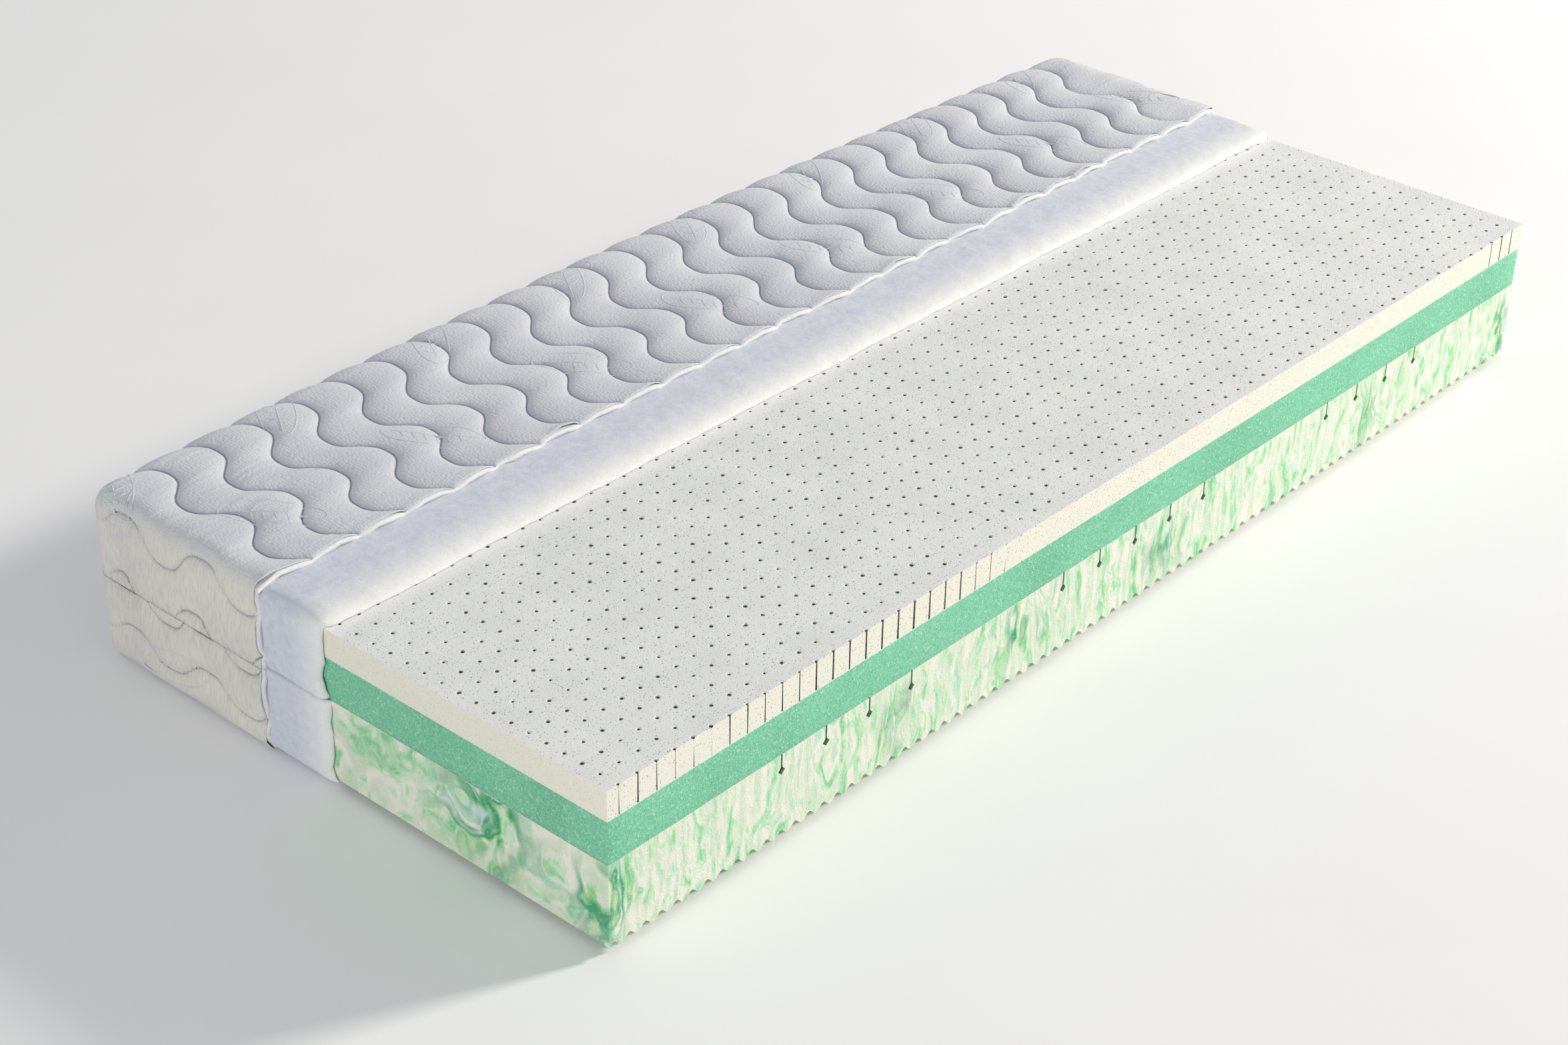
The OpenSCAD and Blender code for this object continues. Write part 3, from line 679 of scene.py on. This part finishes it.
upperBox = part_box("upper_ticking")
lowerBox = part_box("lower_ticking")
upperPanel = coverPanel(upperBox, 1, upperEnds, 26 * mm, upperBox[0].y, 5 * mm, 21.0, 12 * mm, 0.4 * mm, 0.9 * mm)
lowerPanel = coverPanel(lowerBox, -1, lowerEnds, 24 * mm, lowerBox[0].y, 5 * mm, 33.0, 8 * mm, 1.8 * mm)

knitMat = knitMaterial("polyester_knit_quilted", upperPanel["halfLength"])
fleeceMat = fleeceMaterial()
fillMat = fillMaterial()
threadMat = plainMaterial("polyester_quilting_thread", "#e9ecf2", "#c9ced8", 900.0, 0.6)


def edgeCurl(panel, s, t):
    # the cut knit lifts a little off the fleece, unevenly
    near = smoothStep(panel["front"] + 0.018, panel["front"], t)
    lifted = smoothStep(0.12, 0.42, grain(s / 0.075, 9.0, panel["seed"]))
    return near * (0.3 + 3.6 * lifted) * mm


def tickingLift(panel, s, t):
    return quiltLift(panel, s, t) + edgeCurl(panel, s, t) * squareness(panel, s, t)


def addWall(piece, thickness, group=""):
    wall = piece.modifiers.new("wall", "SOLIDIFY")
    wall.thickness = thickness
    wall.offset = -1
    wall.use_rim = True
    if group:
        piece.vertex_groups.new(name=group)
        wall.vertex_group = group


fillEdge = {"behind": 1.2 * mm, "forward": 3.2 * mm, "wall": 6.5 * mm, "below": 1.5 * mm, "sunk": 3.2 * mm,
            "shares": (0.0, 0.06, 0.18, 0.38, 0.62, 0.82, 0.94)}


def frayedEdge(panel, s):
    # the torn fill follows the knit's cut edge and stands out in front of it
    tuft = 0.9 * grain(s / 0.021, 4.0, panel["seed"]) + 0.7 * grain(s / 0.0065, 5.0, panel["seed"])
    return cutEdge(panel, s) - fillEdge["behind"] - fillEdge["forward"] * max(tuft + 0.35, 0.0)


def fillLift(panel, s, t):
    sunk = mixed(fillEdge["below"], fillEdge["sunk"], smoothStep(panel["front"] + 0.006, panel["front"] + 0.025, t))
    fluff = 0.7 * grain(s / 0.006, t / 0.006, 40.0) * mm * smoothStep(panel["front"] + 0.012, panel["front"], t)
    return quiltLift(panel, s, t) * 0.9 - sunk + fluff


for name, panel, body, step in (("upper", upperPanel, "upper_cover", 3.4 * mm),
                                ("lower", lowerPanel, "lower_cover", 6.0 * mm)):
    print(name, "cover")
    columns = quiltColumns(panel, quilt["shares"])
    rows = coverRows(panel, columns, step)
    bm = foldSheet(panel, columns, rows, tickingLift, cutEdge)
    ticking = makePiece(name + "_quilted_ticking", bm, knitMat, body,
                        (name + "_ticking",))
    addWall(ticking, 1.3 * mm)
    columns = quiltColumns(panel, fillEdge["shares"])
    rows = coverRows(panel, columns, 12 * mm)
    rows = [panel["front"] + d * mm for d in (0, 1.5, 3, 5, 8, 12, 18, 26)] + [t for t in rows if t > panel["front"] + 0.032]
    bm = foldSheet(panel, columns, rows, fillLift, frayedEdge)
    fill = makePiece(name + "_carded_fill", bm, fillMat, body, (name + "_quilt_fill",))
    addWall(fill, fillEdge["wall"])


# ---- fleece wadding ----

print("fleece wadding")

fleeceSpec = {"columnStep": 9 * mm, "rowStep": 7 * mm, "fall": 32 * mm, "topWall": 12.6 * mm, "sideWall": 9.6 * mm,
              "bottomWall": 3.8 * mm, "sag": 2.9 * mm, "soft": 1.3 * mm}


def fleecePanel(box, up, face, radius, seed):
    low, high = box
    seam = low.z if up > 0 else high.z
    return {"halfLength": high.x, "front": low.y, "back": high.y, "face": face, "seam": seam, "up": up,
            "radius": radius, "seamDepth": abs(face - seam), "ragged": 6 * mm, "seed": seed, "lines": [],
            "centres": []}


def tornEdge(panel, s):
    # nearly straight on top, and torn where it hangs down the ends
    down = smoothStep(panel["halfLength"] - 0.03, panel["halfLength"] + 0.03, abs(s))
    onEnd = 7.0 * grain(s / 0.03, 6.0, panel["seed"]) + 4.0 * grain(s / 0.009, 7.0, panel["seed"]) + 10.0
    onTop = 3.5 * grain(s / 0.16, 8.0, panel["seed"]) + 1.2 * grain(s / 0.02, 9.0, panel["seed"])
    return mixed(onTop, onEnd if panel["up"] > 0 else onEnd - 6.0, down) * mm


def fleeceFall(panel, s, t):
    # how far the front edge has rounded off, from 0 behind it to 1 at the edge
    start = panel["front"] + tornEdge(panel, s) * 1.0
    reach = fleeceSpec["fall"] if panel["up"] > 0 and abs(s) < panel["halfLength"] - 0.01 else 0.3 * fleeceSpec["fall"]
    u = min(max((t - start) / reach, 0.0), 1.0)
    return 1 - math.sqrt(max(1 - (1 - u) ** 2, 0.0))


def fleeceWall(panel, s, t, outward):
    # thickness where nothing has rounded off
    if panel["up"] > 0:
        return mixed(fleeceSpec["sideWall"], fleeceSpec["topWall"], max(outward.z, 0.0))
    sag = fleeceSag(panel, s, t) * max(-outward.z, 0.0)
    return mixed(fleeceSpec["sideWall"], fleeceSpec["bottomWall"] + sag, max(-outward.z, 0.0))


def fleeceSag(panel, s, t):
    bare = smoothStep(upperPanel["front"] + 0.006, upperPanel["front"] - 0.012, t)
    inside = smoothStep(panel["halfLength"] - 0.004, panel["halfLength"] - 0.03, abs(s))
    return fleeceSpec["sag"] * bare * inside if panel["up"] < 0 else 0.0


def fleeceLift(panel, s, t):
    outward = foldPoint(panel, s, t, 0.0)[1]
    soft = (grain(s / 0.03, t / 0.03, panel["seed"]) + 0.6 * grain(s / 0.011, t / 0.011, panel["seed"] + 3)) * fleeceSpec["soft"]
    depth = depthOf(panel, s, t)
    bare = smoothStep(upperPanel["front"] + 0.004, upperPanel["front"] - 0.01, t)
    soft *= squareness(panel, s, t) * mixed(0.2, 1.0, bare)
    pinch = smoothStep(0.012, 0.0, panel["seamDepth"] - depth) * 2.0 * mm
    if outward.z < -0.5:
        soft = -abs(soft) * 0.5
    wall = fleeceWall(panel, s, t, outward)
    return soft + fleeceSag(panel, s, t) * max(-outward.z, 0.0) - pinch - fleeceFall(panel, s, t) * wall * 0.96


def fleeceDepth(panel, s, t, outward):
    # share of the greatest wall that is left under the surface, so that the inner face stays on the core
    wall = fleeceWall(panel, s, t, outward) + fleeceLift(panel, s, t)
    if panel["up"] < 0:
        wall -= fleeceSag(panel, s, t) * max(-outward.z, 0.0)
    return min(max(wall / fleeceSpec["topWall"], 0.02), 1.0)


def fleeceSheet(panel):
    reach = panel["halfLength"]
    down = [mixed(0.0, panel["seamDepth"] + 0.012, (k / 16)) for k in range(1, 17)]
    columns = [-reach - d for d in reversed(down)] + evenRows(-reach, reach, fleeceSpec["columnStep"]) + [reach]
    columns += [reach + d for d in down]
    fall = [panel["front"] + fleeceSpec["fall"] * u for u in (0, 0.01, 0.03, 0.07, 0.13, 0.21, 0.31, 0.43, 0.57, 0.72, 0.87)]
    rows = fall + evenRows(panel["front"] + fleeceSpec["fall"], panel["back"], fleeceSpec["rowStep"])
    rows += [panel["back"]] + [panel["back"] + d for d in down]
    return foldSheet(panel, columns, rows, fleeceLift, tornEdge, fleeceDepth)


for name, up, body, face, radius, seed in (("upper", 1, "upper_cover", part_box("upper_wadding")[1].z, 20 * mm, 51.0),
                                           ("lower", -1, "lower_cover", 3.0 * mm, 18 * mm, 63.0)):
    panel = fleecePanel(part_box(name + "_wadding"), up, face, radius, seed)
    wadding = makePiece(name + "_fleece", fleeceSheet(panel), fleeceMat, body, (name + "_wadding",))
    addWall(wadding, fleeceSpec["topWall"], "depth")


# ---- stitches and the knitted-in leaf emblems ----

print("stitches")

stitch = {"pitch": 4.6 * mm, "length": 3.3 * mm, "width": 0.8 * mm, "height": 0.6 * mm}


def stitchLines(panel, body, name, startT):
    bm = bmesh.new()
    limit = panel["back"] + panel["seamDepth"] - 5 * mm
    for line in panel["lines"]:
        onEnd = abs(line["centre"]) > panel["halfLength"]
        count = int(((panel["back"] - 12 * mm if onEnd else limit) - startT(onEnd)) / stitch["pitch"])
        for k in range(count):
            ends = []
            for t in (startT(onEnd) + k * stitch["pitch"], startT(onEnd) + k * stitch["pitch"] + stitch["length"]):
                s = line["centre"] + squareness(panel, line["centre"], t) * lineOffset(line, t)
                ends.append(foldPoint(panel, s, t, tickingLift(panel, s, t) + 0.15 * mm) + (depthOf(panel, s, t),))
            (a, outward, depth), (b, _, _) = ends
            if depth > panel["seamDepth"] - 4 * mm:
                continue
            along = (b - a).normalized()
            side = outward.cross(along).normalized()
            turn = Matrix((along, side, along.cross(side))).transposed().to_4x4()
            size = Matrix.Diagonal(((b - a).length, stitch["width"], stitch["height"], 1))
            made = bmesh.ops.create_cube(bm, size=1, matrix=Matrix.Translation((a + b) / 2) @ turn @ size)
            bmesh.ops.translate(bm, verts=made["verts"], vec=outward * 0.1 * mm)
    return makePiece(name + "_stitches", bm, threadMat, body, (name + "_quilting_thread",), sharp=30)


stitchLines(upperPanel, "upper_cover", "upper", lambda onEnd: upperPanel["front"] + 8 * mm)
stitchLines(lowerPanel, "lower_cover", "lower",
            lambda onEnd: lowerPanel["front"] + 8 * mm if onEnd else lowerPanel["back"] + 24 * mm)

print("emblems")

emblem = {"length": 141 * mm, "width": 50 * mm, "line": 1.1 * mm, "sink": 0.65 * mm, "points": 64, "veins": 6,
          "front": (-0.894, -0.624, -0.350, -0.092, 0.160, 0.425, 0.691, 0.946), "frontY": 695 * mm, "frontTurn": -55.0,
          "back": (-0.993, -0.728, -0.457, -0.195, 0.06, 0.323, 0.592, 0.864), "backY": 889 * mm, "backTurn": 60.0}


def emblemStrokes():
    # a plain oval ring with a leaf's veins inside it
    a, b = emblem["length"] / 2, emblem["width"] / 2
    ring = [(a * math.cos(2 * math.pi * k / emblem["points"]), b * math.sin(2 * math.pi * k / emblem["points"]))
            for k in range(emblem["points"])]
    strokes = [(ring, True), ([(a * u, 0.0) for u in (-0.78, -0.5, -0.25, 0.0, 0.25, 0.5, 0.78)], False)]
    for k in range(emblem["veins"]):
        root = mixed(-0.62, 0.5, k / (emblem["veins"] - 1)) * a
        rise = 0.62 * b * math.sqrt(1 - (root / a) ** 2)
        for side in (-1, 1):
            strokes.append(([(root + 0.10 * a * u, side * rise * u ** 0.8) for u in (0.06, 0.4, 0.7, 1.0)], False))
    return strokes


def emblemPiece(name, panel, body, places):
    curve = bpy.data.curves.new(name, "CURVE")
    curve.dimensions = "3D"
    curve.bevel_depth = emblem["line"]
    curve.bevel_resolution = 1
    curve.use_fill_caps = True
    for centreS, centreT, degrees in places:
        c, w = math.cos(math.radians(degrees)), math.sin(math.radians(degrees))
        for stroke, closed in emblemStrokes():
            points = []
            for u, v in stroke:
                s, t = centreS + u * c - v * w, centreT + u * w + v * c
                if depthOf(panel, s, t) < panel["seamDepth"] - 3 * mm:
                    points.append(foldPoint(panel, s, t, tickingLift(panel, s, t) - emblem["sink"])[0])
            if len(points) < 2:
                continue
            spline = curve.splines.new("POLY")
            spline.points.add(len(points) - 1)
            for point, place in zip(spline.points, points):
                point.co = (*place, 1)
            spline.use_cyclic_u = closed and len(points) == len(stroke)
    holder = bpy.data.objects.new(name + "_curve", curve)
    bpy.context.scene.collection.objects.link(holder)
    bpy.context.view_layer.update()
    bm = bmesh.new()
    bm.from_mesh(holder.evaluated_get(bpy.context.evaluated_depsgraph_get()).to_mesh())
    bpy.data.objects.remove(holder)
    bpy.data.curves.remove(curve)
    return makePiece(name, bm, emblemMat, body)


emblemMat = plainMaterial("polyester_knit_raised_line", "#dee0e4", "#ccd0d8", 900.0, 0.85)
topPlaces = [(s, frontY + emblem["frontY"], emblem["frontTurn"]) for s in emblem["front"]]
topPlaces += [(s, frontY + emblem["backY"], emblem["backTurn"]) for s in emblem["back"]]
topPlaces.append((-upperPanel["halfLength"] - 20 * mm, frontY + 860 * mm, 20.0))
emblemPiece("upper_leaf_emblems", upperPanel, "upper_cover", topPlaces)
emblemPiece("lower_leaf_emblems", lowerPanel, "lower_cover",
            [(-lowerPanel["halfLength"] - 48 * mm, frontY + 764 * mm, 75.0),
             (lowerPanel["halfLength"] + 60 * mm, frontY + 700 * mm, 105.0)])


# ---- foam layers ----

print("comfort layer")

pins = {"pitch": 30 * mm, "shift": 8.8 * mm, "rowStart": -5.6 * mm, "rowPitch": 27.8 * mm, "skew": 0.47 * mm,
        "bow": 0.0078 * mm, "growth": 0.081 * mm, "firstRow": -1, "lastRow": 32, "reach": 34,
        "dish": 3.8 * mm, "mouth": 2.3 * mm, "neck": 1.6 * mm, "foot": 1.8 * mm}


def pinPlace(i, row):
    x = pins["shift"] + pins["pitch"] * i
    y = pins["rowStart"] + pins["rowPitch"] * row + pins["growth"] * row * row - pins["skew"] * i - pins["bow"] * i * i
    return x, frontY + y


def cutFlat(bm, place, normal):
    # saws the block off along a plane, and closes the cut
    geometry = bm.verts[:] + bm.edges[:] + bm.faces[:]
    cut = bmesh.ops.bisect_plane(bm, geom=geometry, dist=0.001 * mm, plane_co=place, plane_no=normal, clear_outer=True)
    edges = [e for e in cut["geom_cut"] if isinstance(e, bmesh.types.BMEdge)]
    bmesh.ops.triangle_fill(bm, edges=edges, use_beauty=True, use_dissolve=False, normal=normal)


def resize(faces, radius, drop, uneven):
    # gives each hole's ring its radius, a little uneven, and sinks it
    for face in faces:
        centre = face.calc_center_median()
        size = radius * random.uniform(1 - uneven, 1 + uneven)
        for v in face.verts:
            outward = v.co - centre
            v.co = centre + outward.normalized() * size * random.uniform(0.88, 1.12) + Vector((0, 0, -drop))


def comfortBlock():
    low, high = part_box("comfort_layer")
    bm = bmesh.new()
    across, rowCount = 2 * pins["reach"], pins["lastRow"] - pins["firstRow"]
    bmesh.ops.create_grid(bm, x_segments=across, y_segments=rowCount, size=1)
    for v in bm.verts:
        i = int(round((v.co.x + 1) / 2 * across)) - pins["reach"]
        row = int(round((v.co.y + 1) / 2 * rowCount)) + pins["firstRow"]
        x, y = pinPlace(i, row)
        v.co = (x, y, high.z)
    inner = [v for v in bm.verts if not v.is_boundary]
    rim = [e for e in bm.edges if e.is_boundary]
    skirt = bmesh.ops.extrude_edge_only(bm, edges=rim)["geom"]
    for v in skirt:
        if isinstance(v, bmesh.types.BMVert):
            v.co.z = low.z
    bottom = [e for e in skirt if isinstance(e, bmesh.types.BMEdge) and e.is_boundary]
    bmesh.ops.contextual_create(bm, geom=bottom)
    made = bmesh.ops.bevel(bm, geom=inner, offset=pins["dish"], offset_type="OFFSET", affect="VERTICES", segments=2,
                           profile=0.5, material=-1)
    holes = bmesh.ops.dissolve_faces(bm, faces=made["faces"], use_verts=False)["region"]
    resize(holes, pins["dish"], 0.0, 0.22)
    bmesh.ops.inset_individual(bm, faces=holes, thickness=0.5 * mm, use_even_offset=True)
    resize(holes, pins["mouth"], 0.75 * mm, 0.3)
    for radius, drop in ((pins["neck"], 1.2 * mm), (pins["foot"], high.z - low.z - 3.0 * mm)):
        holes = bmesh.ops.extrude_discrete_faces(bm, faces=holes)["faces"]
        resize(holes, radius, drop, 0.15)
        # painted shade: the faces round each hole's neck and foot get the second material, a dark grey
        for v in {v for face in holes for v in face.verts}:
            for face in v.link_faces:
                face.material_index = 1
    for place, normal in (((low.x, 0, 0), (-1, 0, 0)), ((high.x, 0, 0), (1, 0, 0)),
                          ((0, low.y, 0), (0, -1, 0)), ((0, high.y, 0), (0, 1, 0))):
        cutFlat(bm, place, normal)
    bmesh.ops.recalc_face_normals(bm, faces=bm.faces)
    return bm


comfort = makePiece("comfort_foam_block", comfortBlock(), comfortMaterial(), "core",
                    ("comfort_layer",), sharp=8)
# painted shade: a dark grey for the inside of the pin holes, where the shade falls
comfort.data.materials.append(plainMaterial("pin_hole_painted_shade", "#86887c", "#575a52", 400.0, 0.95))

print("support layer")

slab = {"edge": 1.2 * mm, "piece": 30 * mm, "unevenness": 0.5 * mm}


def supportBlock():
    low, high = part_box("support_layer")
    size = high - low
    bm = bmesh.new()
    bmesh.ops.create_cube(bm, size=1)
    bmesh.ops.scale(bm, verts=bm.verts, vec=size)
    bmesh.ops.translate(bm, verts=bm.verts, vec=(low + high) / 2)
    bmesh.ops.bevel(bm, geom=bm.edges[:], offset=slab["edge"], offset_type="OFFSET", affect="EDGES", segments=2,
                    profile=0.5, material=-1)
    for axis, count in ((0, 66), (1, 30), (2, 4)):
        long = [e for e in bm.edges if abs((e.verts[0].co - e.verts[1].co)[axis]) > 0.5 * size[axis]]
        bmesh.ops.subdivide_edges(bm, edges=long, cuts=count, use_grid_fill=True)
    for v in bm.verts:
        rough = noise.noise_vector(v.co / 0.06) * slab["unevenness"]
        v.co += Vector((rough.x, rough.y, 0)) - Vector((math.copysign(1, v.co.x), 0, 0)) * slab["unevenness"]
    bmesh.ops.recalc_face_normals(bm, faces=bm.faces)
    return bm


support = makePiece("support_foam_block", supportBlock(), supportMaterial(), "core",
                    ("support_layer",), sharp=40)

print("base layer")

ribs = {"pitch": 25.8 * mm, "depth": 9 * mm, "points": 12, "slotPitch": 80 * mm, "slotWidth": 3 * mm,
        "slotDepth": 18 * mm, "keyWidth": 12 * mm, "keyHeight": 11 * mm,
        "zones": ((-590 * mm, 4), (0.0, 5), (590 * mm, 4)), "edge": 1.0 * mm}


def baseOutline(low, high):
    # along the ribs on the underside, and back along the top, dipping into each flex slot
    steps = int(math.ceil((high.x - low.x) / ribs["pitch"] * ribs["points"]))
    points = []
    for k in range(steps + 1):
        x = mixed(low.x, high.x, k / steps)
        points.append((x, low.z + ribs["depth"] / 2 * (1 - math.cos(2 * math.pi * x / ribs["pitch"]))))
    points.append((high.x, high.z))
    half, top = ribs["slotWidth"] / 2, high.z
    slots = [middle + (k - (count - 1) / 2) * ribs["slotPitch"] for middle, count in ribs["zones"] for k in range(count)]
    for x in sorted(slots, reverse=True):
        neck = top - ribs["slotDepth"]
        points += [(x + half, top), (x + half, neck), (x + ribs["keyWidth"] / 2, neck - ribs["keyHeight"] / 2),
                   (x, neck - ribs["keyHeight"]), (x - ribs["keyWidth"] / 2, neck - ribs["keyHeight"] / 2),
                   (x - half, neck), (x - half, top)]
    points.append((low.x, high.z))
    return points


def baseBlock():
    low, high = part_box("base_layer")
    bm = bmesh.new()
    ring = [bm.verts.new((x, low.y, z)) for x, z in baseOutline(low, high)]
    side = bm.faces.new(ring)
    grown = bmesh.ops.extrude_face_region(bm, geom=[side])["geom"]
    bmesh.ops.translate(bm, verts=[v for v in grown if isinstance(v, bmesh.types.BMVert)],
                        vec=(0, high.y - low.y, 0))
    bmesh.ops.recalc_face_normals(bm, faces=bm.faces)
    # painted shade: the walls of the flex slots and keyholes get the second material, a darker grey-green
    for face in bm.faces:
        middle = face.calc_center_median()
        if abs(face.normal.y) < 0.5 and abs(face.normal.z) < 0.95 and abs(middle.x) < high.x - ribs["pitch"]:
            face.material_index = 1 if middle.z > high.z - ribs["slotDepth"] - ribs["keyHeight"] else 0
    bmesh.ops.triangulate(bm, faces=[f for f in bm.faces if len(f.verts) > 4])
    return bm


base = makePiece("base_foam_block", baseBlock(), baseMaterial(), "core", ("base_layer",), sharp=35)
# painted shade inside the narrow slots
base.data.materials.append(plainMaterial("slot_wall_painted_shade", "#a6c0aa", "#789882", 300.0, 0.95))


# ---- parts that stay as the frame has them ----

print("trim")

keep = {
    "bond_film": (("comfort_bond", "base_bond"), plainMaterial("adhesive_film_dry", "#f0f0e6", "#dcdccd", 300.0, 0.35)),
    "zip_tape": (("upper_zip_tape", "lower_zip_tape"), plainMaterial("polyester_zip_tape_woven", "#eeeeea", "#cfcfca", 800.0, 0.8)),
    "zip_coil": (("upper_zip_coil", "lower_zip_coil"), plainMaterial("nylon_zip_coil", "#f6f6f3", "#c4c4c0", 1200.0, 0.4)),
    "zip_metal": (("upper_zip_stop", "lower_zip_stop", "zip_slider", "zip_pull"),
                  plainMaterial("nickel_plated_zinc", "#d9d9d6", "#b9b9b6", 400.0, 0.28, 1.0, 0.02 * mm)),
}
for nodes, material in keep.values():
    for node in nodes:
        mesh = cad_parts[node].data
        mesh.materials.clear()
        mesh.materials.append(material)
